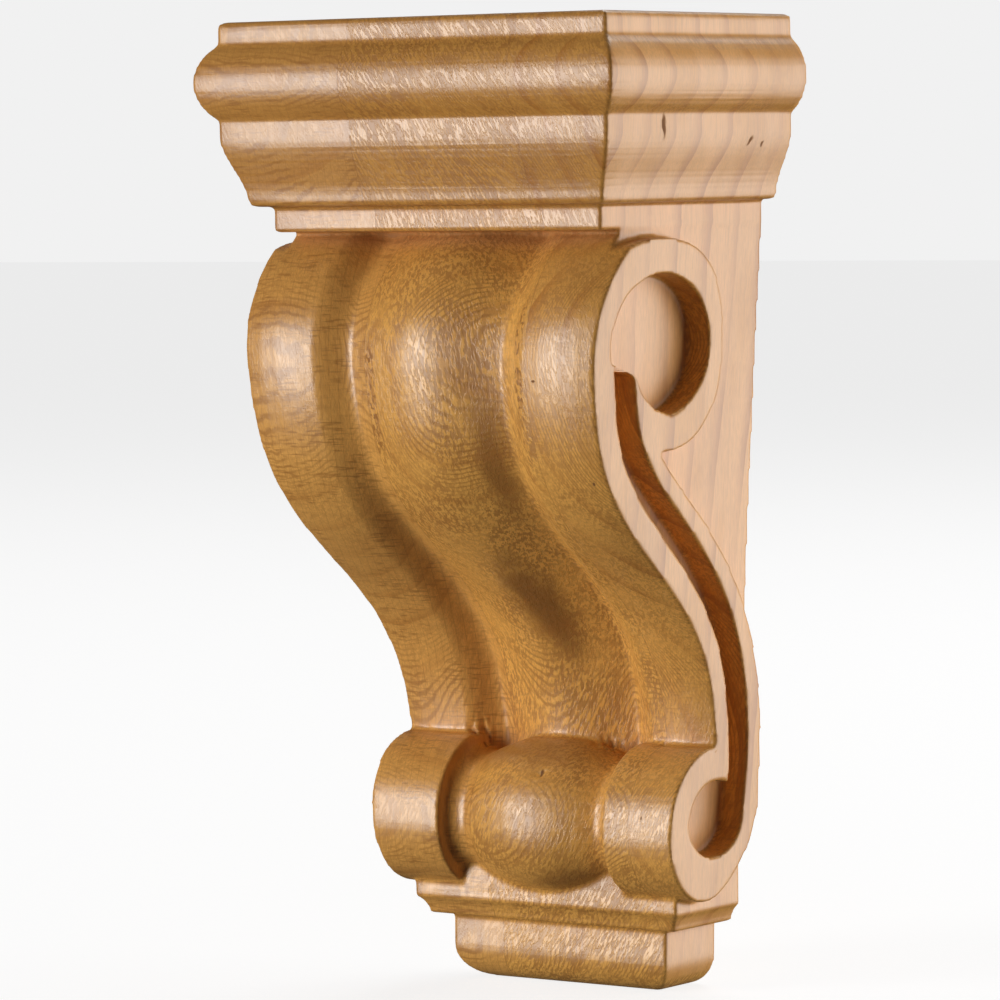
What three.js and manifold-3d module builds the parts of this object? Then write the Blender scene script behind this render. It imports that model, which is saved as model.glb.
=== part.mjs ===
import * as THREE from "three";
import { mergeVertices } from "three/addons/utils/BufferGeometryUtils.js";
import Module from "manifold-3d";

// A carved wood corbel: a stepped cap, an S-shaped body with three soft lobes down its front,
// a scroll raised on each flank, a turned roll below and a small foot block.
// Millimetres, +Z up. The back is flat on the plane y = 0 and the front looks towards -Y.

// Whole piece
const height = 178; // underside of the foot to the top of the cap
const mountShare = 0.5; // height of the fixing point on the back, as a share of the whole

// Cap: courses from the top down, each returned on both flanks
const capHalfWidth = 42.7;
const capDepth = 59.1;
const topFilletHeight = 4.1;
const topEdgeEase = 0.6;
const torusHeight = 13.7;
const torusStandout = 3.3;
const midFilletHeight = 3.3;
const cymaHeight = 12.3;
const cymaInset = 3.6;
const cymaFoot = 1.2; // upright strip under the cyma, with its eased lower edge
const cymaWave = 0.65; // 0 is a straight splay, 1 a full S
const friezeHeight = 4.7;
const friezeInset = 6.6;
const friezeSetback = 7.3; // behind the cap's front

// Base plate and foot block
const plateHalfWidth = 29.3;
const plateDepth = 21.1;
const plateRise = 15.5; // from the plate's underside up into the roll
const plateLip = 0.8; // upright strip at the bottom of the plate
const plateCoveHeight = 2.5; // small cove between the strip and the plate's face
const plateCoveInset = 1.8;
const plateCoveBend = 0.6;
const footHeight = 12.3;
const footHalfWidth = 23.9;
const footDepth = 16.5;
const footRounding = 6.5;

// Body: its front sweeps from the crown of the lobes back to the waist above the roll
const crownDepth = 57.8;
const crownDrop = 23.9; // crown below the underside of the cap
const topSetback = 14; // how far the front falls back from the crown to the cap
const topBend = 2.4;
const waistDepth = 14.8;
const sweepMiddle = 0.48; // of the height from waist to crown, where the sweep is steepest
const sweepSteepness = 7.7;
const flankInset = 0.2; // plain flank inside the frieze above it
const flankSag = 0.7; // hollow of the plain flank between cap and plate

// Relief across the front, as shares of the half width, with depths in mm
const valleyShare = 0.43;
const shoulderShare = 0.6;
const bandCrestShare = 0.78;
const lobeCrown = 0.8;
const valleyDepthTop = 2.8;
const valleyDepthWaist = 4;

// Scroll on each flank
const scrollStandout = 3.7;
const frontBandTop = 6.9;
const frontBandWaist = 4.5;
const grooveWidth = 6;
const backBandTop = 3.4;
const backBandWaist = 4.5;
const sinkDepth = 5; // depth of the groove and of both eyes
const voluteRadius = 19;
const voluteStretch = 1.08; // its depth against its height
const voluteSquareness = 2.5; // 2 is an oval, more is squarer
const voluteGap = 1.6; // between the volute and the cap
const voluteSetback = 20.3; // volute centre behind the crown
const eyeHalfDepth = 15.4;
const eyeHalfHeight = 12.8;
const eyeSetback = 0.7; // eye behind the volute's centre
const voluteFrom = 50; // degrees round the volute where its outer edge starts, in front
const voluteTo = 268; // and where it meets the back band
const eyeFrom = -12; // degrees round the eye where its tongue ends
const eyeTo = 255;
const grooveTopShare = 0.2; // groove's top below the volute's centre, of its radius
const tonguePlaces = [[0.06, 0.57], [0.24, 0.44], [0.36, 0.25]]; // forward and down, of the radius

// Roll, turned about a level axis
const rollRadius = 14.1;
const rollCentreDepth = 14.6;
const rollSink = 1.2; // how far the roll would reach below the top of its seat
const seatHeight = 6.8; // plate face below the roll
const rollFullness = 0.045; // swells the lower front towards its seat
const rollFlatness = 0.13; // flattens the lower back
const beadShare = 0.43;
const coveShare = 0.46;
const rollBandShare = 0.54;
const coveDepth = 3.2;
const coveRise = 0.45; // share of the cove's depth climbed below the band's corner
const bandWallDraft = 0.15;
const rollEyeHalfDepth = 8.6;
const rollEyeHalfHeight = 7;
const rollEyeSetback = 0.8;

// Fineness
const torusSteps = 10;
const cymaSteps = 12;
const roundingSteps = 8;
const crownSteps = 14;
const sweepSteps = 34;
const lobeSteps = 7;
const valleySteps = 5;
const bandSteps = 4;
const beadSteps = 7;
const rollSteps = 56;
const ovalSteps = 36;
const grooveSteps = 30;
const flankSteps = 12;
const spare = 6; // how far a cutting shape reaches past the wood
const pastFlank = 1.15; // the rough body is this much wider than the finished one

// Heights that follow from the sizes above
const capBottom =
  height - topFilletHeight - torusHeight - midFilletHeight - cymaHeight - friezeHeight;
const seatTop = footHeight + seatHeight;
const rollCentreHeight = seatTop + rollRadius - rollSink;
const waistHeight = rollCentreHeight + rollRadius;
const crownHeight = capBottom - crownDrop;
const friezeHalfWidth = capHalfWidth - friezeInset;
const voluteHeight = capBottom - voluteGap - voluteRadius;
const voluteCentre = new THREE.Vector2(crownDepth - voluteSetback, voluteHeight);

const wasm = await Module();
wasm.setup();

function toSolid(geometry) {
  const bare = geometry.index ? geometry.clone() : geometry;
  bare.deleteAttribute("normal");
  bare.deleteAttribute("uv");
  const merged = mergeVertices(bare, 1e-4);
  return new wasm.Manifold(
    new wasm.Mesh({
      numProp: 3,
      vertProperties: new Float32Array(merged.attributes.position.array),
      triVerts: new Uint32Array(merged.index.array),
    }),
  );
}

function toGeometry(solid) {
  const mesh = solid.getMesh();
  const geometry = new THREE.BufferGeometry();
  geometry.setAttribute("position", new THREE.BufferAttribute(mesh.vertProperties, 3));
  geometry.setIndex(new THREE.BufferAttribute(mesh.triVerts, 1));
  geometry.computeVertexNormals();
  return geometry;
}

// Moves every vertex of a geometry with a rule that returns its new place
function bend(geometry, rule) {
  const place = geometry.attributes.position;
  const point = new THREE.Vector3();
  for (let i = 0; i < place.count; i++) {
    point.fromBufferAttribute(place, i);
    rule(point);
    place.setXYZ(i, point.x, point.y, point.z);
  }
  return geometry;
}

// A mitred stack of courses: each level has an inset from the outline and a height, and
// where its front stands further back than its sides, a setback too
function stack(halfWidth, depth, levels) {
  const box = new THREE.BoxGeometry(2, 1, 1, 1, 1, levels.length - 1);
  return toSolid(
    bend(box, (point) => {
      const level = levels[Math.round((point.z + 0.5) * (levels.length - 1))];
      point.x *= halfWidth - level.inset;
      point.y = (point.y - 0.5) * (depth - (level.setback ?? level.inset));
      point.z = level.height;
    }),
  );
}

function capLevels() {
  const levels = [];
  const torusBottom = height - topFilletHeight - torusHeight;
  const cymaTop = torusBottom - midFilletHeight;
  const cymaBottom = cymaTop - cymaHeight;
  const ease = Math.min(cymaFoot, topEdgeEase);
  levels.push({ inset: friezeInset, setback: friezeSetback, height: capBottom });
  levels.push({ inset: friezeInset, setback: friezeSetback, height: cymaBottom });
  levels.push({ inset: cymaInset + ease, height: cymaBottom });
  levels.push({ inset: cymaInset, height: cymaBottom + ease });
  for (let i = 0; i <= cymaSteps; i++) {
    const t = i / cymaSteps;
    const wave = (1 - Math.cos(Math.PI * t)) / 2;
    levels.push({
      inset: cymaInset * (1 - THREE.MathUtils.lerp(t, wave, cymaWave)),
      height: cymaBottom + cymaFoot + (cymaHeight - cymaFoot) * t,
    });
  }
  const halfTorus = torusHeight / 2;
  const torusRadius = (halfTorus ** 2 + torusStandout ** 2) / (2 * torusStandout);
  for (let i = 0; i <= torusSteps; i++) {
    const rise = halfTorus * ((2 * i) / torusSteps - 1);
    const bulge = Math.sqrt(torusRadius ** 2 - rise ** 2) - torusRadius + torusStandout;
    levels.push({ inset: -bulge, height: torusBottom + halfTorus + rise });
  }
  levels.push({ inset: 0, height: height - topEdgeEase });
  levels.push({ inset: topEdgeEase, height });
  return levels;
}

function footLevels() {
  const levels = [];
  for (let i = 0; i <= roundingSteps; i++) {
    const angle = (i / roundingSteps) * (Math.PI / 2);
    levels.push({
      inset: footRounding * (1 - Math.sin(angle)),
      height: footRounding * (1 - Math.cos(angle)),
    });
  }
  levels.push({ inset: 0, height: footHeight + plateLip });
  return levels;
}

function plateLevels() {
  const coveBottom = footHeight + plateLip;
  const levels = [{ inset: plateCoveInset, height: footHeight }];
  for (let i = 0; i <= 4; i++) {
    const rise = i / 4;
    levels.push({
      inset: plateCoveInset * (1 - rise) ** plateCoveBend,
      height: coveBottom + plateCoveHeight * rise,
    });
  }
  levels.push({ inset: 0, height: footHeight + plateRise });
  return levels;
}

// Half width of the raised scroll at a height; the piece narrows towards its foot
function scrollHalfWidth(level) {
  const share = (level - seatTop) / (capBottom - seatTop);
  const flank = THREE.MathUtils.lerp(plateHalfWidth, friezeHalfWidth, share);
  return flank - flankInset + scrollStandout;
}

// Half width of the plain flank behind the scroll, hollowed a little between its ends
function flankHalfWidth(level) {
  const share = (level - seatTop) / (capBottom - seatTop);
  return scrollHalfWidth(level) - scrollStandout - flankSag * 4 * share * (1 - share);
}

// Share of the way from waist to crown, kept between 0 and 1
function sweepShare(level) {
  return THREE.MathUtils.clamp((level - waistHeight) / (crownHeight - waistHeight), 0, 1);
}

// An S-shaped rise from 0 to 1
function sweep(share) {
  const curve = (value) => 1 / (1 + Math.exp(-sweepSteepness * (value - sweepMiddle)));
  return (curve(share) - curve(0)) / (curve(1) - curve(0));
}

// Depth of the front edge at a height
function frontDepth(level) {
  if (level > crownHeight) {
    const share = Math.min((level - crownHeight) / crownDrop, 1);
    return crownDepth - topSetback * share ** topBend;
  }
  return waistDepth + (crownDepth - waistDepth) * sweep(sweepShare(level));
}

// Points of the front edge from inside the plate up into the cap, as (depth, height)
function frontProfile() {
  const points = [new THREE.Vector2(waistDepth, footHeight + plateRise / 3)];
  for (let i = 0; i <= sweepSteps; i++) {
    const level = THREE.MathUtils.lerp(waistHeight, crownHeight, i / sweepSteps);
    points.push(new THREE.Vector2(frontDepth(level), level));
  }
  for (let i = 1; i <= crownSteps; i++) {
    const level = crownHeight + (crownDrop * i) / crownSteps;
    points.push(new THREE.Vector2(frontDepth(level), level));
  }
  points.push(new THREE.Vector2(frontDepth(capBottom), capBottom + friezeHeight / 2));
  return points;
}

// Unit normals of a run of points, towards the front
function outwardNormals(points) {
  return points.map((point, i) => {
    const before = points[Math.max(i - 1, 0)];
    const after = points[Math.min(i + 1, points.length - 1)];
    return new THREE.Vector2(after.y - before.y, before.x - after.x).normalize();
  });
}

// How far the front stands out at a share of the half width
function lobeRelief(share, valleyDepth) {
  if (share < valleyShare) {
    const t = share / valleyShare;
    const fall = t ** 2 / 2 + (1 - Math.cos(Math.PI * t)) / 4;
    return lobeCrown - (lobeCrown + valleyDepth) * fall;
  }
  const fromCrest = (share - bandCrestShare) / (1 - bandCrestShare);
  const top = lobeCrown * (1 - Math.min(fromCrest ** 2, 1));
  const climb = THREE.MathUtils.smoothstep(share, valleyShare, shoulderShare);
  return (valleyDepth + top) * climb - valleyDepth;
}

// Shares of the half width where the front is cut into strips, from one flank to the other
function stripShares() {
  const half = [];
  for (let i = 0; i < lobeSteps; i++) {
    half.push((valleyShare * i) / lobeSteps);
  }
  for (let i = 0; i < valleySteps; i++) {
    half.push(THREE.MathUtils.lerp(valleyShare, shoulderShare, i / valleySteps));
  }
  for (let i = 0; i <= bandSteps; i++) {
    half.push(THREE.MathUtils.lerp(shoulderShare, 1, i / bandSteps));
  }
  half.push(pastFlank);
  const mirrored = half.slice(1).reverse();
  return [...mirrored.map((share) => -share), ...half];
}

// The body wider than its flanks: a box of rows and strips bent to the front's relief
function bodySolid() {
  const profile = frontProfile();
  const normals = outwardNormals(profile);
  const shares = stripShares();
  const rows = profile.length - 1;
  const strips = shares.length - 1;
  const box = new THREE.BoxGeometry(1, 1, 1, strips, 1, rows);
  return toSolid(
    bend(box, (point) => {
      const row = Math.round((point.z + 0.5) * rows);
      const share = shares[Math.round((point.x + 0.5) * strips)];
      const along = sweepShare(profile[row].y);
      const valley = THREE.MathUtils.lerp(valleyDepthWaist, valleyDepthTop, along);
      const inFront = point.y < 0;
      const stand = inFront ? lobeRelief(Math.abs(share), valley) : 0;
      const atEnd = row === 0 || row === rows;
      point.z = profile[row].y + (atEnd ? 0 : stand * normals[row].y);
      point.y = inFront ? -(profile[row].x + stand * normals[row].x) : 0;
      point.x = share * scrollHalfWidth(point.z);
    }),
  );
}

// A slab across the whole depth whose half width follows a rule of height
function slab(widthAt, bottom, top, steps) {
  const box = new THREE.BoxGeometry(2, 1, 1, 1, 1, steps);
  const reach = capDepth + torusStandout + spare;
  return toSolid(
    bend(box, (point) => {
      point.z = THREE.MathUtils.lerp(bottom, top, point.z + 0.5);
      point.x *= widthAt(point.z);
      point.y = (point.y - 0.5) * reach;
    }),
  );
}

// Radius of the roll at a share of the half width: flat bands, coves and a middle bead
function rollRadiusAt(share) {
  if (share > rollBandShare) return rollRadius;
  if (share > coveShare) {
    const t = (share - coveShare) / (rollBandShare - coveShare);
    return rollRadius - coveDepth * (1 - coveRise * t ** 2);
  }
  const crest = lobeCrown / 2;
  return rollRadius + crest - (coveDepth + crest) * Math.min(share / beadShare, 1) ** 2;
}

// The roll before its ends are cut flush with the flanks
function rollSolid() {
  const half = scrollHalfWidth(rollCentreHeight);
  const shares = [];
  for (let i = 0; i <= beadSteps; i++) {
    shares.push(beadShare * Math.sin((i / beadSteps) * (Math.PI / 2)));
  }
  shares.push(coveShare, (coveShare + rollBandShare) / 2, rollBandShare);
  const right = shares.map((share) => new THREE.Vector2(rollRadiusAt(share), share * half));
  right.push(new THREE.Vector2(rollRadius, rollBandShare * half + bandWallDraft));
  right.push(new THREE.Vector2(rollRadius, half + spare));
  right.push(new THREE.Vector2(0, half + spare));
  const left = right.slice(1).reverse();
  const outline = [...left.map((p) => new THREE.Vector2(p.x, -p.y)), ...right];
  const turned = new THREE.LatheGeometry(outline, rollSteps);
  turned.rotateZ(-Math.PI / 2);
  bend(turned, (point) => {
    const angle = Math.atan2(-point.z, -point.y);
    const lean = point.z < 0 ? Math.sin(2 * angle) : 0;
    const swell = 1 + lean * (lean > 0 ? rollFullness : rollFlatness);
    point.y = point.y * swell - rollCentreDepth;
    point.z = point.z * swell + rollCentreHeight;
  });
  return toSolid(turned);
}

function turnedInsideOut(geometry) {
  const flat = geometry.index ? geometry.toNonIndexed() : geometry;
  const place = flat.attributes.position;
  const second = new THREE.Vector3();
  const third = new THREE.Vector3();
  for (let i = 0; i < place.count; i += 3) {
    second.fromBufferAttribute(place, i + 1);
    third.fromBufferAttribute(place, i + 2);
    place.setXYZ(i + 1, third.x, third.y, third.z);
    place.setXYZ(i + 2, second.x, second.y, second.z);
  }
  return flat;
}

// A shape drawn in depth and height, cut square to a flank between two distances from its face
function flankPrism(shape, side, inner, outer) {
  const prism = new THREE.ExtrudeGeometry(shape, { depth: 1, bevelEnabled: false });
  bend(prism, (point) => {
    const level = point.y;
    const from = point.z < 0.5 ? inner : outer;
    point.y = -point.x;
    point.x = side * (scrollHalfWidth(level) + from);
    point.z = level;
  });
  return toSolid(side > 0 ? turnedInsideOut(prism) : prism);
}

// The front edge moved back into the flank by a rule of its share from waist to crown
function offsetEdge(bottom, top, backBy) {
  const edge = [];
  for (let i = 0; i <= grooveSteps; i++) {
    const level = THREE.MathUtils.lerp(bottom, top, i / grooveSteps);
    edge.push(new THREE.Vector2(frontDepth(level), level));
  }
  const normals = outwardNormals(edge);
  return edge.map((point, i) =>
    point.clone().addScaledVector(normals[i], -backBy(sweepShare(point.y))));
}

const frontBand = (share) => THREE.MathUtils.lerp(frontBandWaist, frontBandTop, share);
const grooveBack = (share) => frontBand(share) + grooveWidth;
const scrollBack = (share) =>
  grooveBack(share) + THREE.MathUtils.lerp(backBandWaist, backBandTop, share);

// Points round an oval between two angles in degrees, from the front over the top
function ovalPoints(centre, halfDepth, halfHeight, from, to, squareness = 2) {
  const stretch = (value) => Math.sign(value) * Math.abs(value) ** (2 / squareness);
  const points = [];
  for (let i = 0; i <= ovalSteps; i++) {
    const angle = THREE.MathUtils.degToRad(THREE.MathUtils.lerp(from, to, i / ovalSteps));
    points.push(new THREE.Vector2(
      centre.x + halfDepth * stretch(Math.cos(angle)),
      centre.y + halfHeight * stretch(Math.sin(angle))));
  }
  return points;
}

// Outline of the raised scroll: volute, back band, roll end and everything in front of them
function scrollShape() {
  const volute = ovalPoints(voluteCentre, voluteRadius * voluteStretch, voluteRadius,
    voluteFrom, voluteTo, voluteSquareness);
  const backEdge = offsetEdge(waistHeight, voluteHeight, scrollBack)
    .filter((point) => point.y < volute[ovalSteps].y - 1)
    .reverse();
  const outside = crownDepth + spare;
  return new THREE.Shape([
    new THREE.Vector2(outside, volute[0].y),
    ...volute,
    ...backEdge,
    new THREE.Vector2(-spare, waistHeight),
    new THREE.Vector2(-spare, rollCentreHeight),
    new THREE.Vector2(outside, rollCentreHeight),
  ]);
}

// The S-shaped groove between the two bands, running down into the eye of the roll
function grooveShape() {
  const top = voluteHeight - grooveTopShare * voluteRadius;
  const front = offsetEdge(rollCentreHeight, top, frontBand);
  const back = offsetEdge(rollCentreHeight, top, grooveBack);
  const eyeBack = rollCentreDepth - rollEyeSetback - rollEyeHalfDepth;
  for (const point of back) {
    const share = Math.min((point.y - rollCentreHeight) / rollRadius, 1);
    point.x = THREE.MathUtils.lerp(eyeBack, point.x, share);
  }
  return new THREE.Shape([...front, ...back.slice(0, -1).reverse()]);
}

// Sunk eye of the volute; a tongue of the ring stays at its lower front
function voluteEyeShape() {
  const centre = new THREE.Vector2(voluteCentre.x - eyeSetback, voluteCentre.y);
  const opening = ovalPoints(centre, eyeHalfDepth, eyeHalfHeight, eyeFrom, eyeTo);
  const tongue = tonguePlaces.map(([forward, down]) => new THREE.Vector2(
    voluteCentre.x + forward * voluteRadius, voluteCentre.y - down * voluteRadius));
  return new THREE.Shape([...opening, ...tongue]);
}

function rollEyeShape() {
  const centre = new THREE.Vector2(
    rollCentreDepth - rollEyeSetback, rollCentreHeight + rollEyeSetback);
  const opening = ovalPoints(centre, rollEyeHalfDepth, rollEyeHalfHeight, 0, 360);
  return new THREE.Shape(opening.slice(0, -1));
}

function corbelSolid() {
  const cap = stack(capHalfWidth, capDepth, capLevels());
  const plate = stack(plateHalfWidth, plateDepth, plateLevels());
  const foot = stack(footHalfWidth, footDepth, footLevels());
  const across = 4 * capHalfWidth;
  const scroll = flankPrism(scrollShape(), 1, -across, across);
  const flank = slab(flankHalfWidth, footHeight, height, flankSteps);
  const fullWidth = slab(scrollHalfWidth, 0, height, 1);
  let body = bodySolid().intersect(flank.add(scroll));
  body = body.add(rollSolid()).intersect(fullWidth).add(plate);
  for (const side of [-1, 1]) {
    for (const shape of [grooveShape(), voluteEyeShape(), rollEyeShape()]) {
      body = body.subtract(flankPrism(shape, side, -sinkDepth, spare));
    }
  }
  return cap.add(body).add(foot);
}

const wood = new THREE.MeshStandardMaterial({
  color: 0xc8925a,
  roughness: 0.55,
  metalness: 0,
});
const corbel = new THREE.Mesh(toGeometry(corbelSolid()), wood);
corbel.name = "corbel";
corbel.position.z = -height * mountShare;

const part = new THREE.Group();
part.add(corbel);

export default part;
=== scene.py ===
import math

import bmesh
import bpy
import numpy as np
from mathutils import Matrix, Vector, noise
from mathutils.bvhtree import BVHTree


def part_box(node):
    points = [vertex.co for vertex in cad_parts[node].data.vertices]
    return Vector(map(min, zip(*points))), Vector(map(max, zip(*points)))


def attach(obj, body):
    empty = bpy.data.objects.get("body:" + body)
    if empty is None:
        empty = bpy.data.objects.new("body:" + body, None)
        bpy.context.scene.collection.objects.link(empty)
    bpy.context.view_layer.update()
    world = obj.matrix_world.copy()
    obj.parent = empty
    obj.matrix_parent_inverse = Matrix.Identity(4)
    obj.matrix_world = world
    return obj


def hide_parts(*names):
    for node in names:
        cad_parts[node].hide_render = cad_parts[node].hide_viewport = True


# A carved wood corbel on a pale studio floor. Metres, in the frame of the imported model:
# the back is flat on y = 0, the front looks towards -Y and the cap is on top.
# Places named in mm are measured from the middle of the back face.

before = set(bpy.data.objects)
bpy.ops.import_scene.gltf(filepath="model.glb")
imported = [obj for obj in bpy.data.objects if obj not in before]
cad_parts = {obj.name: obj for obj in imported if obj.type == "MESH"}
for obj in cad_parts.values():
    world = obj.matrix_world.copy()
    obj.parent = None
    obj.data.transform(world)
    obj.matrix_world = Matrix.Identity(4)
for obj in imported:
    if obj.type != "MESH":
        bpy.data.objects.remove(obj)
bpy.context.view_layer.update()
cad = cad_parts["corbel"]
boxLow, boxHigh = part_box("corbel")
mm = 0.001
scene = bpy.context.scene

# Carved piece: the solid with eased arrises, tool marks and chips, in one even fine mesh
carving = {
    "levelEase": 0.6,  # mm, rounding of the cap's level arrises
    "cornerEase": 0.2,  # and of its corners
    "easeSegments": 3,
    "capFrom": 50.0,  # mm, height where the cap begins
    "easeAngle": 30,  # degrees; softer corners stay as they are
    "levelShare": 0.99,  # an arris this nearly along X or Y is a level one
    "joinWithin": 0.02,  # mm, points this close are one
    "flatWithin": 0.3,  # degrees, faces this nearly level with each other are one
    "backWithin": 0.01,  # mm, what counts as lying on the back
    "grid": 0.42,  # mm, size of the fine mesh
    "smoothing": 4,  # passes that even it out
    "mostTriangles": 190000,
    "unevenness": 0.12,  # mm, how deep the sander's waves go
    "waveLength": 9.0,  # mm
    "waveSeed": 1,  # keeps the waves the same in every run
    "boxWithin": 0.15,  # mm, points this near the outer box stay on it
}
chips = (  # centre, reach and depth in mm, where the carving tore out beside the roll
    ((-18.6, -14.0, -43.2), 3.4, 1.5),
    ((10.2, -14.4, -43.6), 3.2, 1.5),
    ((3.3, -25.9, -48.3), 1.3, 0.8),
    ((24.0, -17.5, -43.8), 2.4, 1.0),
)
splinters = {  # the torn wood inside a chip
    "direction": Vector((0, 0.85, -0.53)),  # into the wood above the roll
    "size": 0.9,  # mm
    "upGrain": 0.4,  # their frequency up the grain, for each one across it
    "level": 0.2,  # more tears out more of the chip
    "steepness": 2,  # of the chip's rim
}
hollows = {
    "reach": 9.0,  # mm, how near a surface must face another to count as a hollow
    "lift": 0.15,  # mm, how far above the surface its rays start
    "leans": (0.7, 1.6),  # of the rays, sideways for each one outwards
    "turns": (0.3, 1.35, 2.4, 3.45, 4.5, 5.55),  # and round the normal, in radians
}


# gives each arris the share of the widest easing that it takes
def weighArrises(mesh):
    for name in ("custom_normal", "sharp_edge", "sharp_face"):
        if name in mesh.attributes:
            mesh.attributes.remove(mesh.attributes[name])
    work = bmesh.new()
    work.from_mesh(mesh)
    bmesh.ops.remove_doubles(work, verts=work.verts, dist=carving["joinWithin"] * mm)
    bmesh.ops.dissolve_limit(
        work, angle_limit=math.radians(carving["flatWithin"]), verts=work.verts,
        edges=work.edges)
    weights = work.edges.layers.float.new("bevel_weight_edge")
    for edge in work.edges:
        first, second = (vert.co for vert in edge.verts)
        onBack = min(first.y, second.y) > -carving["backWithin"] * mm
        if onBack or min(first.z, second.z) < carving["capFrom"] * mm:
            continue
        if edge.is_convex and edge.calc_face_angle(0) > math.radians(carving["easeAngle"]):
            along = (second - first).normalized()
            level = max(abs(part) for part in along.xy) > carving["levelShare"]
            edge[weights] = 1.0 if level else carving["cornerEase"] / carving["levelEase"]
    work.to_mesh(mesh)
    work.free()


# how far the sander's waves and the chips move a point, in metres
def handWork(place):
    move = noise.noise_vector(place / (carving["waveLength"] * mm)) * carving["unevenness"] * mm
    size = splinters["size"] * mm
    for centre, reach, depth in chips:
        near = 1 - (place / mm - Vector(centre)).length / reach
        if near > 0:
            height = place.z * splinters["upGrain"]
            torn = noise.noise(Vector((place.x, place.y, height)) / size)
            torn = max(0, torn + splinters["level"])
            inside = min(1, near * splinters["steepness"])
            move += splinters["direction"] * depth * mm * inside * torn
    return move


def fineMesh():
    mesh = cad.data.copy()
    mesh.materials.clear()
    weighArrises(mesh)
    blank = bpy.data.objects.new("blank", mesh)
    scene.collection.objects.link(blank)
    bevel = blank.modifiers.new("ease", "BEVEL")
    bevel.width = carving["levelEase"] * mm
    bevel.segments = carving["easeSegments"]
    bevel.limit_method = "WEIGHT"
    bevel.use_clamp_overlap = False
    remesh = blank.modifiers.new("grid", "REMESH")
    remesh.mode = "VOXEL"
    remesh.voxel_size = carving["grid"] * mm
    graph = bpy.context.evaluated_depsgraph_get()
    fine = bpy.data.meshes.new_from_object(blank.evaluated_get(graph))
    bpy.data.objects.remove(blank)
    bpy.data.meshes.remove(mesh)
    return fine


def carvedPiece():
    fine = fineMesh()
    piece = bpy.data.objects.new("corbelCarved", fine)
    scene.collection.objects.link(piece)
    piece.modifiers.new("even", "SMOOTH").iterations = carving["smoothing"]
    thin = piece.modifiers.new("thin", "DECIMATE")
    thin.ratio = min(1, carving["mostTriangles"] / (2 * len(fine.polygons)))
    piece.modifiers.new("settle", "SMOOTH")
    graph = bpy.context.evaluated_depsgraph_get()
    piece.data = bpy.data.meshes.new_from_object(piece.evaluated_get(graph))
    piece.modifiers.clear()
    bpy.data.meshes.remove(fine)
    noise.seed_set(carving["waveSeed"])
    for vert in piece.data.vertices:
        moved = vert.co + handWork(vert.co)
        for axis in range(3):
            low, high = boxLow[axis], boxHigh[axis]
            margin = min(vert.co[axis] - low, high - vert.co[axis])
            place = vert.co[axis] if margin < carving["boxWithin"] * mm else moved[axis]
            vert.co[axis] = min(max(place, low), high)
    return piece


# for each point, how much of its sky other parts of the carving fill, between 0 and 1; the wood
# darkens its colour by this as painted shade
def markHollows(piece):
    mesh = piece.data
    work = bmesh.new()
    work.from_mesh(mesh)
    tree = BVHTree.FromBMesh(work)
    work.normal_update()
    spread = [Vector((math.cos(turn) * out, math.sin(turn) * out, 0))
              for out in hollows["leans"] for turn in hollows["turns"]]
    reach = hollows["reach"] * mm
    values = np.zeros(len(work.verts), np.float32)
    for index, vert in enumerate(work.verts):
        turned = vert.normal.to_track_quat("Z", "Y")
        start = vert.co + vert.normal * hollows["lift"] * mm
        for lean in spread:
            ray = (vert.normal + turned @ lean).normalized()
            distance = tree.ray_cast(start, ray, reach)[3]
            if distance is not None:
                values[index] += (1 - distance / reach) / len(spread)
    work.free()
    mesh.attributes.new("hollow", "FLOAT", "POINT").data.foreach_set("value", values)


corbel = carvedPiece()
markHollows(corbel)
corbel.data.shade_smooth()
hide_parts("corbel")
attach(corbel, "root")
print("carved piece:", len(corbel.data.polygons), "faces", flush=True)

# Wood: a blank glued up from three staves, each with its own growth rings
staves = {  # values in threes are for the left, middle and right staves
    "joints": (-12.75, 24.0),  # mm, glue lines
    "jointLean": 0.004,  # mm sideways for each mm of height
    "ringAcross": (0.10, -0.2, -0.67),  # share of X in the rings' direction
    "ringTwist": (0.0, -0.0075, 0.0),  # and how it changes for each mm of height
    "ringBack": (0.99, 0.95, 0.74),  # share of Y
    "ringPitch": (5.5, 4.5, 6.6),  # mm between rings
    "ringDepth": (0.5, 0.45, 0.95),  # how dark the rings are
    "layerDepth": (0.8, 0.85, 0.7),  # fine layers that the carving cuts into contour lines
    "fleckDepth": (0.32, 0.85, 0.6),
    "streakDepth": (1.0, 0.3, 0.5),  # short strokes across the grain
    "hairDepth": (0.65, 0.0, 0.15),  # hairlines up the grain
}
woodLook = {
    "leftHue": (0.88, 0.455, 0.112),
    "middleHue": (0.96, 0.50, 0.112),
    "rightHue": (0.93, 0.48, 0.11),
    "flankHue": (0.83, 0.42, 0.13),  # the smooth radial face, paler and pinker
    "dark": (0.31, 0.12, 0.022),  # strokes and darker wood, and the painted shade towards the top
    # colour of the painted shadows, also used for the dark strokes
    "paintedShadowAndStroke": (0.20, 0.075, 0.013),
    "ring": (0.46, 0.165, 0.024),
    "golden": (0.72, 0.33, 0.06),  # warmer clouds on the flanks
    "goldenShare": 0.75,
    "fleck": (0.37, 0.15, 0.03),  # pores and rays
    "paintedShadeHue": (0.66, 0.28, 0.065),  # painted shade in the carving's hollows
    "paintedShadeShare": 0.7,
    "roughness": 0.32,
    "specular": 0.8,
    "bumpDepth": 0.06,  # mm
    "bumpStrength": 0.8,
    "fleckDip": 0.6,  # of the bump's depth
}
rougher = {"flecks": 0.12, "flank": 0.08, "hollow": 0.45, "stroke": 0.5}  # added there
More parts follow.
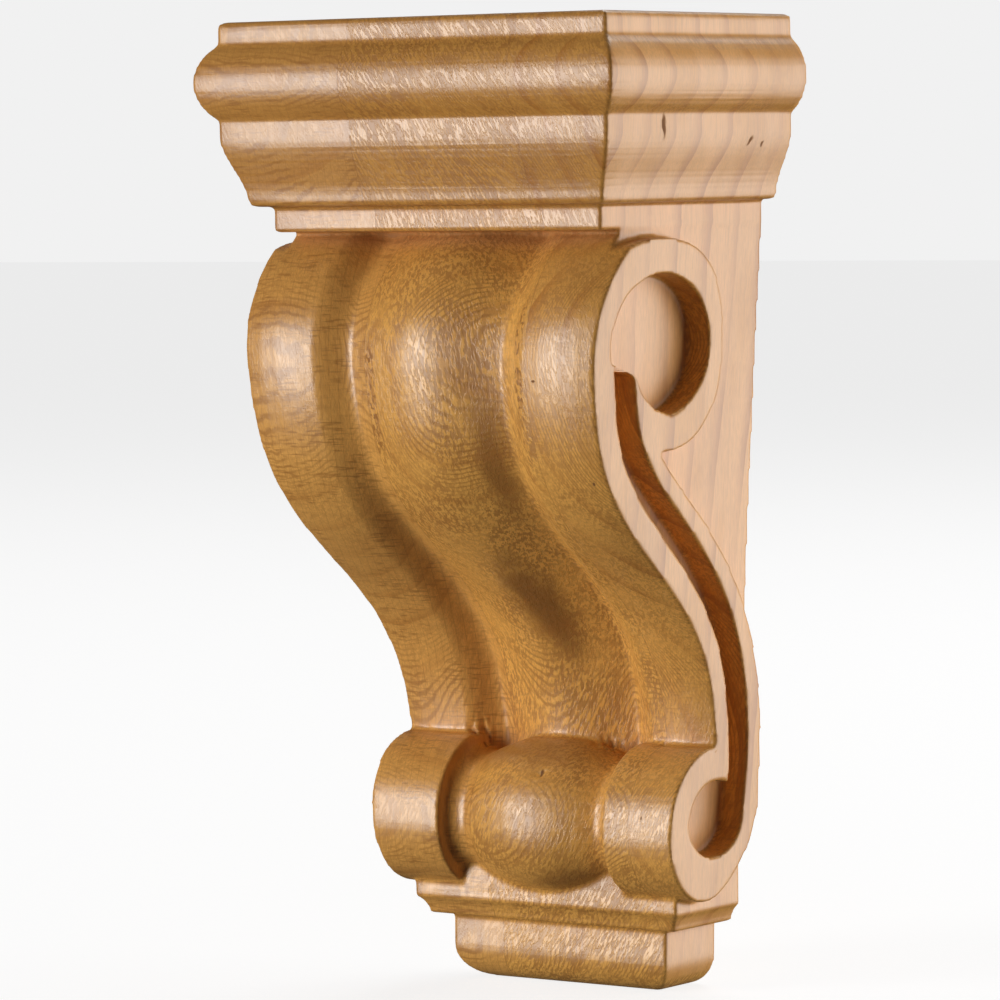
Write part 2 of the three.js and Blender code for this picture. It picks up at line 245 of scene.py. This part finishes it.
sizes = {  # mm, except where noted
    "wander": 7.0,  # slow bends of the rings
    "shiver": 0.45,  # quick ones
    "layerPitch": 0.5,
    "layerShiver": 0.3,
    "fleckLean": 0.004,  # sideways, for each square mm of height
    "calm": 0.45,  # share of the flecks that the layers push aside
    "hairPitch": 1.7,
    "hairSlope": 0.35,  # sideways, for each mm of depth
    "hairShiver": 0.5,
    "flankHairs": 0.28,  # their share
    "pitEnd": 6.0,  # over which a row of pits fades out
    "wiggle": 2.0,  # of the dark strokes
    "shadowRagged": 0.8,  # of a painted shadow zone's half size
    "spareRings": 100.0,  # a whole number, which keeps the count above zero
}
patterns = {  # frequency for each mm along X, Y and Z, then start, detail and roughness
    "wander": ((0.03, 0.03, 0.012), 1.0),
    "shiver": ((0.2, 0.2, 0.08), 11.0),
    "fading": ((0.06, 0.06, 0.03), 31.0),
    "layerShiver": ((0.7, 0.7, 0.4), 5.0),
    "layerPatches": ((0.12, 0.12, 0.10), 47.0),
    "flecks": ((1.7, 1.5, 0.45), 3.0, 3.0, 0.65),
    "crowds": ((0.15, 0.15, 0.07), 71.0),
    "streaks": ((0.3, 0.3, 2.3), 13.0, 1.5, 0.6),
    "streakPatches": ((0.09, 0.09, 0.09), 29.0),
    "flankHairs": ((1.2, 1.2, 0.05), 17.0),
    "fibres": ((5.0, 4.0, 0.35), 83.0),
    "pits": ((1.3, 1.3, 0.95), 61.0),
    "wiggle": ((0.5, 0.5, 0.5), 91.0),
    "golden": ((0.10, 0.10, 0.035), 53.0, 2.0, 0.6),
    "cloud": ((0.06, 0.06, 0.02), 19.0, 2.0),
}
limits = {  # where a value starts and is full, and where needed what it then runs between
    "flank": (0.72, 0.93),
    "back": (-0.5, -2.0),  # mm
    "ringDark": (0.45, 1.03),
    "ringEnd": (1.0, 0.97),
    "fading": (0.32, 0.68, 0.2, 1.0),
    "layers": (0.22, 0.42),
    "layerPatches": (0.4, 0.58, 0.25, 1.0),
    "alongLayers": (0.72, 0.95, 0.1, 1.0),
    "flecks": (0.44, 0.56),
    "crowds": (0.3, 0.65, 0.45, 1.0),
    "plainFlank": (0.0, 1.0, 1.0, 0.08),
    "streaks": (0.5, 0.68),
    "streakPatches": (0.35, 0.6),
    "hairs": (0.43, 0.5),
    "flankHairs": (0.5, 0.75),
    "fibres": (0.3, 0.7),
    "pitRow": (1.5, 0.7),  # mm from its middle
    "pits": (0.5, 0.6),
    "seam": (0.15, 0.04),  # mm
    "stroke": (1.0, 0.4),
    "paintedShadowAndStroke": (1.5, 0.6, 0.0),
    "hollow": (0.14, 0.55),
    "flankHollow": (0.0, 1.0, 1.0, 0.3),
    "golden": (0.42, 0.68),
    "cloud": (0.35, 0.75, 0.0, 0.2),
    "paintedTopShade": (25.0, 60.0),  # mm of height over which the painted shade on the upper front grows to full
}
stains = {  # how strongly each pattern colours the wood, and with which colour
    "cloud": (1.0, "dark"),
    # painted shadows
    "paintedShadowAndStroke": (1.0, "paintedShadowAndStroke"),
    # painted shade, darker towards the top of the front
    "paintedTopShade": (0.36, "dark"),
    "rings": (0.9, "ring"),
    "layers": (0.75, "fleck"),
    "streaks": (0.6, "fleck"),
    "flecks": (0.85, "fleck"),
    "fibres": (0.2, "dark"),
    "hairs": (0.6, "fleck"),
    "pits": (0.85, "dark"),
    "seam": (0.45, "dark"),
    "stroke": (0.95, "paintedShadowAndStroke"),
}
paintedShadows = (  # centre and half sizes in mm, strength of the painted shadow there
    ((12.5, -50.0, 12.0), (4.5, 14.0, 22.0), 0.75),
    ((4.5, -27.0, -17.0), (6.5, 30.0, 15.0), 0.85),
    ((-4.0, -20.0, -45.0), (21.0, 10.0, 4.5), 0.6),
    ((9.0, -22.0, -68.0), (12.0, 12.0, 4.0), 0.6),
)
pitRows = (  # beside the glue lines: distance from the joint, lowest and highest point in mm
    (1.2, 8.0, 34.0),
    (-2.0, 14.0, 42.0),
)
marks = (  # centre in mm, half sizes in mm, lean of the stroke towards the wall with height
    ((42.5, -13.6, 66.2), (1.4, 0.65, 1.2), -0.8),
    ((42.5, -9.5, 65.6), (1.4, 0.5, 0.8), -0.6),
    ((42.6, -41.5, 69.0), (2.0, 0.85, 3.0), 0.1),
    ((25.6, -58.1, 24.8), (0.6, 2.0, 0.32), 0.0),
    ((3.3, -25.9, -48.3), (0.4, 1.5, 1.0), 0.0),
    ((34.4, -52.5, 6.7), (0.35, 1.2, 0.45), 0.0),
    ((27.0, -28.5, -54.9), (0.25, 1.0, 0.5), 0.0),
    ((32.5, -10.7, -49.7), (2.0, 2.4, 0.4), 0.0),
)


# short names for building a material's node tree
class Tree:
    def __init__(self, material):
        material.use_nodes = True
        self.tree = material.node_tree
        self.shader = self.tree.nodes["Principled BSDF"]

    def feed(self, value, socket):
        if isinstance(value, bpy.types.NodeSocket):
            self.tree.links.new(value, socket)
        else:
            socket.default_value = value

    def add(self, kind, *inputs, **settings):
        node = self.tree.nodes.new("ShaderNode" + kind)
        for name, value in settings.items():
            setattr(node, name, value)
        for socket, value in zip(node.inputs, inputs):
            self.feed(value, socket)
        return node

    def math(self, operation, *inputs):
        return self.add("Math", *inputs, operation=operation).outputs[0]

    def vector(self, operation, *inputs):
        return self.add("VectorMath", *inputs, operation=operation).outputs[0]

    def length(self, vector):
        return self.add("VectorMath", vector, operation="LENGTH").outputs["Value"]

    # distance to the nearest whole number
    def toWhole(self, value):
        return self.math("PINGPONG", value, 0.5)

    # between 0 and 1; stretch is its frequency for each mm along X, Y and Z
    def noise(self, place, stretch, start, detail=1.0, roughness=0.5):
        moved = self.vector("MULTIPLY_ADD", place, stretch, (start, start * 0.7, start * 1.3))
        node = self.add("TexNoise")
        self.feed(moved, node.inputs["Vector"])
        node.inputs["Scale"].default_value = 1
        node.inputs["Detail"].default_value = detail
        node.inputs["Roughness"].default_value = roughness
        return node.outputs["Fac"]

    def ramp(self, value, low, high, toLow=0.0, toHigh=1.0):
        node = self.add("MapRange", interpolation_type="SMOOTHSTEP")
        for socket, fed in zip(node.inputs, (value, low, high, toLow, toHigh)):
            self.feed(fed, socket)
        return node.outputs[0]

    def mix(self, share, first, second):
        node = self.add("Mix", data_type="RGBA")
        self.feed(share, node.inputs[0])
        for value, socket in ((first, node.inputs[6]), (second, node.inputs[7])):
            self.feed((*value, 1) if isinstance(value, tuple) else value, socket)
        return node.outputs[2]

    def times(self, *values):
        product = values[0]
        for value in values[1:]:
            product = self.math("MULTIPLY", product, value)
        return product


# the staves' patterns, each a share between 0 and 1 over the surface
class Wood(Tree):
    def __init__(self, material):
        super().__init__(material)
        self.place = self.vector("SCALE", self.add("TexCoord").outputs["Object"])
        self.place.node.inputs["Scale"].default_value = 1 / mm
        self.x, self.y, self.z = self.add("SeparateXYZ", self.place).outputs
        self.leaning = self.math("MULTIPLY_ADD", self.z, staves["jointLean"], self.x)
        self.inMiddle, self.inRight = (
            self.math("GREATER_THAN", self.leaning, joint) for joint in staves["joints"])
        normal = self.add("NewGeometry").outputs["Normal"]
        self.normalX, self.normalY = self.add("SeparateXYZ", normal).outputs[:2]
        # the flanks are cut along the rays and stay plain, and so does the sawn back
        self.flank = self.within("flank", self.math("ABSOLUTE", self.normalX))
        self.front = self.times(
            self.math("SUBTRACT", 1.0, self.flank), self.within("back", self.y))
        self.shiver = self.pattern("shiver")
        self.across = self.math(
            "MULTIPLY_ADD", self.z, self.perStave("ringTwist"), self.perStave("ringAcross"))
        self.depth = self.throughRings()

    def pattern(self, name):
        return self.noise(self.place, *patterns[name])

    def within(self, name, value):
        return self.ramp(value, *limits[name])

    def spots(self, name):
        return self.within(name, self.pattern(name))

    def perStave(self, name):
        left, middle, right = staves[name]
        value = self.math("MULTIPLY_ADD", self.inMiddle, middle - left, left)
        return self.math("MULTIPLY_ADD", self.inRight, right - middle, value)

    # mm through the rings, wandering a little up the trunk
    def throughRings(self):
        straight = self.times(self.y, self.perStave("ringBack"))
        depth = self.math("MULTIPLY_ADD", self.x, self.across, straight)
        depth = self.math("MULTIPLY_ADD", self.pattern("wander"), sizes["wander"], depth)
        return self.math("MULTIPLY_ADD", self.shiver, sizes["shiver"], depth)

    # growth rings: each darkens slowly and ends sharply
    def rings(self):
        count = self.math("DIVIDE", self.depth, self.perStave("ringPitch"))
        phase = self.math("FRACT", self.math("ADD", count, sizes["spareRings"]))
        rings = self.within("ringDark", phase)
        rings = self.times(rings, rings, self.within("ringEnd", phase))
        return self.times(rings, self.spots("fading"), self.perStave("ringDepth"))

    # fine layers, seen as contour lines where the surface runs nearly along them
    def layers(self):
        ragged = self.math(
            "MULTIPLY_ADD", self.pattern("layerShiver"), sizes["layerShiver"], self.depth)
        layers = self.math("DIVIDE", ragged, sizes["layerPitch"])
        layers = self.within("layers", self.toWhole(layers))
        along = self.math("MULTIPLY_ADD", self.normalX, self.across, self.normalY)
        along = self.within("alongLayers", self.math("ABSOLUTE", along))
        return self.times(
            layers, self.spots("layerPatches"), along, self.front, self.perStave("layerDepth"))

    # pores and ray flecks, long up the grain, whose lines bow to the right at mid height
    def grain(self):
        leanX = self.math("MULTIPLY_ADD", self.times(self.z, self.z), sizes["fleckLean"], self.x)
        leaning = self.add("CombineXYZ", leanX, self.y, self.z).outputs[0]
        grain = self.within("flecks", self.noise(leaning, *patterns["flecks"]))
        plain = self.within("plainFlank", self.flank)
        return self.times(grain, plain, self.perStave("fleckDepth"))

    # those that colour the wood: they come in crowds and give way to the layers
    def flecks(self, grain, layers):
        calm = self.math("MULTIPLY_ADD", layers, -sizes["calm"], 1.0)
        return self.times(grain, self.spots("crowds"), calm)

    def streaks(self):
        return self.times(
            self.spots("streaks"), self.spots("streakPatches"), self.front,
            self.perStave("streakDepth"))

    def hairs(self):
        place = self.math("MULTIPLY_ADD", self.y, sizes["hairSlope"], self.x)
        place = self.math("MULTIPLY_ADD", self.shiver, sizes["hairShiver"], place)
        count = self.math("DIVIDE", place, sizes["hairPitch"])
        hairs = self.within("hairs", self.toWhole(count))
        hairs = self.times(hairs, self.front, self.perStave("hairDepth"))
        onFlank = self.times(self.spots("flankHairs"), self.flank)
        return self.math("MULTIPLY_ADD", onFlank, sizes["flankHairs"], hairs)

    def pits(self):
        pits = 0.0
        fade = sizes["pitEnd"]
        for joint, (offset, low, high) in zip(staves["joints"], pitRows):
            away = self.math("SUBTRACT", self.leaning, joint + offset)
            row = self.within("pitRow", self.math("ABSOLUTE", away))
            row = self.times(row, self.ramp(self.z, low, low + fade),
                             self.ramp(self.z, high, high - fade))
            pits = self.math("MAXIMUM", pits, row)
        return self.times(pits, self.front, self.spots("pits"))

    def seam(self):
        return self.within("seam", self.math("MINIMUM", *(
            self.math("ABSOLUTE", self.math("SUBTRACT", self.leaning, joint))
            for joint in staves["joints"])))

    # the few dark strokes and cracks
    def stroke(self):
        wiggle = self.math(
            "MULTIPLY_ADD", self.pattern("wiggle"), sizes["wiggle"], -sizes["wiggle"] / 2)
        sideways = self.add("CombineXYZ", 0.0, wiggle, 0.0).outputs[0]
        wavy = self.vector("ADD", self.place, sideways)
        nearest = 2.0  # beyond the edge of any mark
        for centre, halfSize, lean in marks:
            offset = self.vector("SUBTRACT", wavy, centre)
            if lean:
                offX, offY, offZ = self.add("SeparateXYZ", offset).outputs
                offY = self.math("MULTIPLY_ADD", offZ, lean, offY)
                offset = self.add("CombineXYZ", offX, offY, offZ).outputs[0]
            reach = self.length(self.vector("DIVIDE", offset, halfSize))
            nearest = self.math("MINIMUM", nearest, reach)
        return self.within("stroke", nearest)

    # painted shadows: dark zones with ragged edges, laid where the carving lies in shade
    def paintedShadowAndStroke(self):
        paintedShadowAndStroke = 0.0
        for centre, halfSize, strength in paintedShadows:
            offset = self.vector("SUBTRACT", self.place, centre)
            reach = self.length(self.vector("DIVIDE", offset, halfSize))
            reach = self.math("MULTIPLY_ADD", self.shiver, sizes["shadowRagged"], reach)
            zone = self.ramp(reach, *limits["paintedShadowAndStroke"], strength)
            paintedShadowAndStroke = self.math("MAXIMUM", paintedShadowAndStroke, zone)
        return paintedShadowAndStroke

    # how hollow each point is, less on the flanks: it darkens the colour as painted shade and
    # roughens the finish
    def hollow(self):
        marked = self.add("Attribute", attribute_name="hollow").outputs["Fac"]
        return self.times(
            self.within("hollow", marked), self.within("flankHollow", self.flank))

    # the wood's colour before its patterns, with painted shade darkening the carving's hollows
    def ground(self, hollow):
        colour = self.mix(self.inMiddle, woodLook["leftHue"], woodLook["middleHue"])
        colour = self.mix(self.inRight, colour, woodLook["rightHue"])
        colour = self.mix(self.flank, colour, woodLook["flankHue"])
        # painted shade: the colour darkens where the carving is hollow
        paintedShadeColour = self.mix(woodLook["paintedShadeShare"], colour, woodLook["paintedShadeHue"])
        colour = self.mix(hollow, colour, paintedShadeColour)
        golden = self.times(self.spots("golden"), self.flank, woodLook["goldenShare"])
        return self.mix(golden, colour, woodLook["golden"])


def makeWood():
    material = bpy.data.materials.new("wood")
    wood = Wood(material)
    layers, grain, hollow = wood.layers(), wood.grain(), wood.hollow()
    shares = {
        "cloud": wood.spots("cloud"),
        "paintedShadowAndStroke": wood.paintedShadowAndStroke(),
        "paintedTopShade": wood.times(wood.within("paintedTopShade", wood.z), wood.front),
        "rings": wood.rings(),
        "layers": layers,
        "streaks": wood.streaks(),
        "flecks": wood.flecks(grain, layers),
        "fibres": wood.spots("fibres"),
        "hairs": wood.hairs(),
        "pits": wood.pits(),
        "seam": wood.seam(),
        "stroke": wood.stroke(),
    }
    colour = wood.ground(hollow)
    for name, (strength, hue) in stains.items():
        colour = wood.mix(wood.times(shares[name], strength), colour, woodLook[hue])
    wood.feed(colour, wood.shader.inputs["Base Color"])

    roughness = woodLook["roughness"]
    shares.update(flank=wood.flank, hollow=hollow)
    for name, more in rougher.items():
        roughness = wood.math("MULTIPLY_ADD", shares[name], more, roughness)
    wood.feed(roughness, wood.shader.inputs["Roughness"])
    wood.shader.inputs["Specular IOR Level"].default_value = woodLook["specular"]

    bump = wood.add("Bump")
    bump.inputs["Strength"].default_value = woodLook["bumpStrength"]
    bump.inputs["Distance"].default_value = woodLook["bumpDepth"] * mm
    height = wood.math("MULTIPLY_ADD", grain, -woodLook["fleckDip"], 1.0)
    wood.feed(height, bump.inputs["Height"])
    wood.feed(bump.outputs[0], wood.shader.inputs["Normal"])
    return material


corbel.data.materials.append(makeWood())
print("wood: done")

# Camera, where the photograph was taken from
cameraSet = {
    "place": (580.37, -840.26, 63.15),  # mm
    "yaw": 35.71,  # degrees to the left of straight at the wall
    "pitch": -3.52,
    "roll": -0.86,
    "lens": 198.0,
    "sensor": 36.0,
    "near": 0.05,  # m
    "far": 50,
}


def makeCamera():
    data = bpy.data.cameras.new("camera")
    data.lens = cameraSet["lens"]
    data.sensor_width = cameraSet["sensor"]
    data.clip_start = cameraSet["near"]
    data.clip_end = cameraSet["far"]
    camera = bpy.data.objects.new("camera", data)
    yaw, pitch, roll = (math.radians(cameraSet[key]) for key in ("yaw", "pitch", "roll"))
    look = Vector((-math.sin(yaw) * math.cos(pitch), math.cos(yaw) * math.cos(pitch),
                   math.sin(pitch)))
    right = Vector((math.cos(yaw), math.sin(yaw), 0))
    up = right.cross(look)
    tiltedRight = right * math.cos(roll) + up * math.sin(roll)
    tiltedUp = up * math.cos(roll) - right * math.sin(roll)
    camera.location = Vector(cameraSet["place"]) * mm
    camera.rotation_euler = Matrix((tiltedRight, tiltedUp, -look)).transposed().to_euler()
    scene.collection.objects.link(camera)
    scene.camera = camera


makeCamera()

# Studio: a pale floor, a white surround and three soft panels
studio = {
    "floorReach": 6.0,  # m
    "floorColour": (0.25, 0.25, 0.25),
    "floorFibre": (0.1, 0.1, 0.1),
    "fibreShare": 0.05,
    "fibreFrom": (0.3, 0.7),
    "fibreDetail": 3.0,
    "fibreFineness": 900,  # for each m
    "floorRoughness": 0.9,
    "floorGlow": 0.82,
    "aim": (0, -30, 0),  # mm, what the panels point at
    "ambient": 0.04,
    "surround": 0.88,  # as the camera sees it
}
panels = (  # name, azimuth and elevation in degrees, distance and size in m, radiance, colour
    ("leftPanel", -32, 2, 1.3, (0.48, 0.85), 11.4, (1.0, 0.975, 0.94)),
    ("rightPanel", 130, -2, 1.2, (1.4, 0.95), 3.9, (1.0, 0.985, 0.97)),
    ("backPanel", 190, 50, 1.6, (1.2, 0.8), 3.5, (1.0, 1.0, 1.0)),
)


def makePaper():
    material = bpy.data.materials.new("paper")
    paper = Tree(material)
    place = paper.add("TexCoord").outputs["Object"]
    fibre = paper.noise(place, [studio["fibreFineness"]] * 3, 1.0, studio["fibreDetail"])
    fibre = paper.ramp(fibre, *studio["fibreFrom"], 0.0, studio["fibreShare"])
    paper.feed(paper.mix(fibre, studio["floorColour"], studio["floorFibre"]),
               paper.shader.inputs["Base Color"])
    paper.shader.inputs["Roughness"].default_value = studio["floorRoughness"]
    paper.shader.inputs["Emission Color"].default_value = (1, 1, 1, 1)
    paper.shader.inputs["Emission Strength"].default_value = studio["floorGlow"]
    return material


# the floor shows itself to the camera only: the panels shine past it
def makeFloor():
    mesh = bpy.data.meshes.new("floor")
    far, level = studio["floorReach"], boxLow[2]
    mesh.from_pydata([(-far, -far, level), (far, -far, level), (far, far, level),
                      (-far, far, level)], [], [(0, 1, 2, 3)])
    mesh.materials.append(makePaper())
    floor = bpy.data.objects.new("floor", mesh)
    scene.collection.objects.link(floor)
    floor.visible_diffuse = False
    floor.visible_glossy = False
    floor.visible_shadow = False


def makePanel(name, azimuth, elevation, distance, size, radiance, colour):
    data = bpy.data.lights.new(name, "AREA")
    data.shape = "RECTANGLE"
    data.size, data.size_y = size
    data.energy = radiance * math.pi * size[0] * size[1]
    data.color = colour
    light = bpy.data.objects.new(name, data)
    around, above = math.radians(azimuth), math.radians(elevation)
    away = Vector((math.sin(around) * math.cos(above), -math.cos(around) * math.cos(above),
                   math.sin(above)))
    light.location = Vector(studio["aim"]) * mm + away * distance
    light.rotation_mode = "QUATERNION"
    light.rotation_quaternion = away.to_track_quat("Z", "Y")
    scene.collection.objects.link(light)


def makeSurround():
    world = bpy.data.worlds.new("surround")
    world.use_nodes = True
    tree = world.node_tree
    sky = tree.nodes["Background"]
    sky.inputs["Color"].default_value = (1, 1, 1, 1)
    seen = tree.nodes.new("ShaderNodeLightPath").outputs["Is Camera Ray"]
    level = tree.nodes.new("ShaderNodeMapRange")
    level.inputs["To Min"].default_value = studio["ambient"]
    level.inputs["To Max"].default_value = studio["surround"]
    tree.links.new(seen, level.inputs["Value"])
    tree.links.new(level.outputs[0], sky.inputs["Strength"])
    scene.world = world


makeFloor()
for panel in panels:
    makePanel(*panel)
makeSurround()
scene.view_settings.view_transform = "Standard"
print("studio: done")
